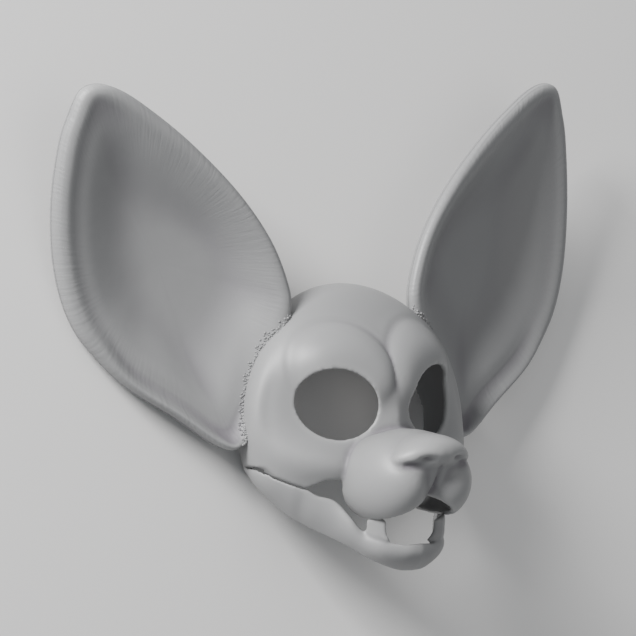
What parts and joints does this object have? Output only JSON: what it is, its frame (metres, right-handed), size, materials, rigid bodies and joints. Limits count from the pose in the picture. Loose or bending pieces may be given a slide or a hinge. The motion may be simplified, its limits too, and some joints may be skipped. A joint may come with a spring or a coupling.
{
  "type": "fox mask",
  "caption": "Hard, hollow fox mask with very large cupped ears, open eye holes, a two-lobed muzzle and a thin open lower jaw with fangs.",
  "frame": {"origin": "on the ground, under the middle of the mask as it lies on its back", "axes": "+X towards the wearer's left ear, +Y towards the crown, +Z out of the face"},
  "size_m": [0.4178, 0.3294, 0.129],
  "materials": {
    "satin_grey": "satin",
    "nose_grey": "satin"
  },
  "bodies": {
    "root": {"face_shell": "satin_grey", "muzzle": "satin_grey", "nose_pad": "nose_grey", "ear_left": "satin_grey", "ear_right": "satin_grey", "jaw": "satin_grey", "fang_left": "satin_grey", "fang_right": "satin_grey"}
  },
  "joints": []
}
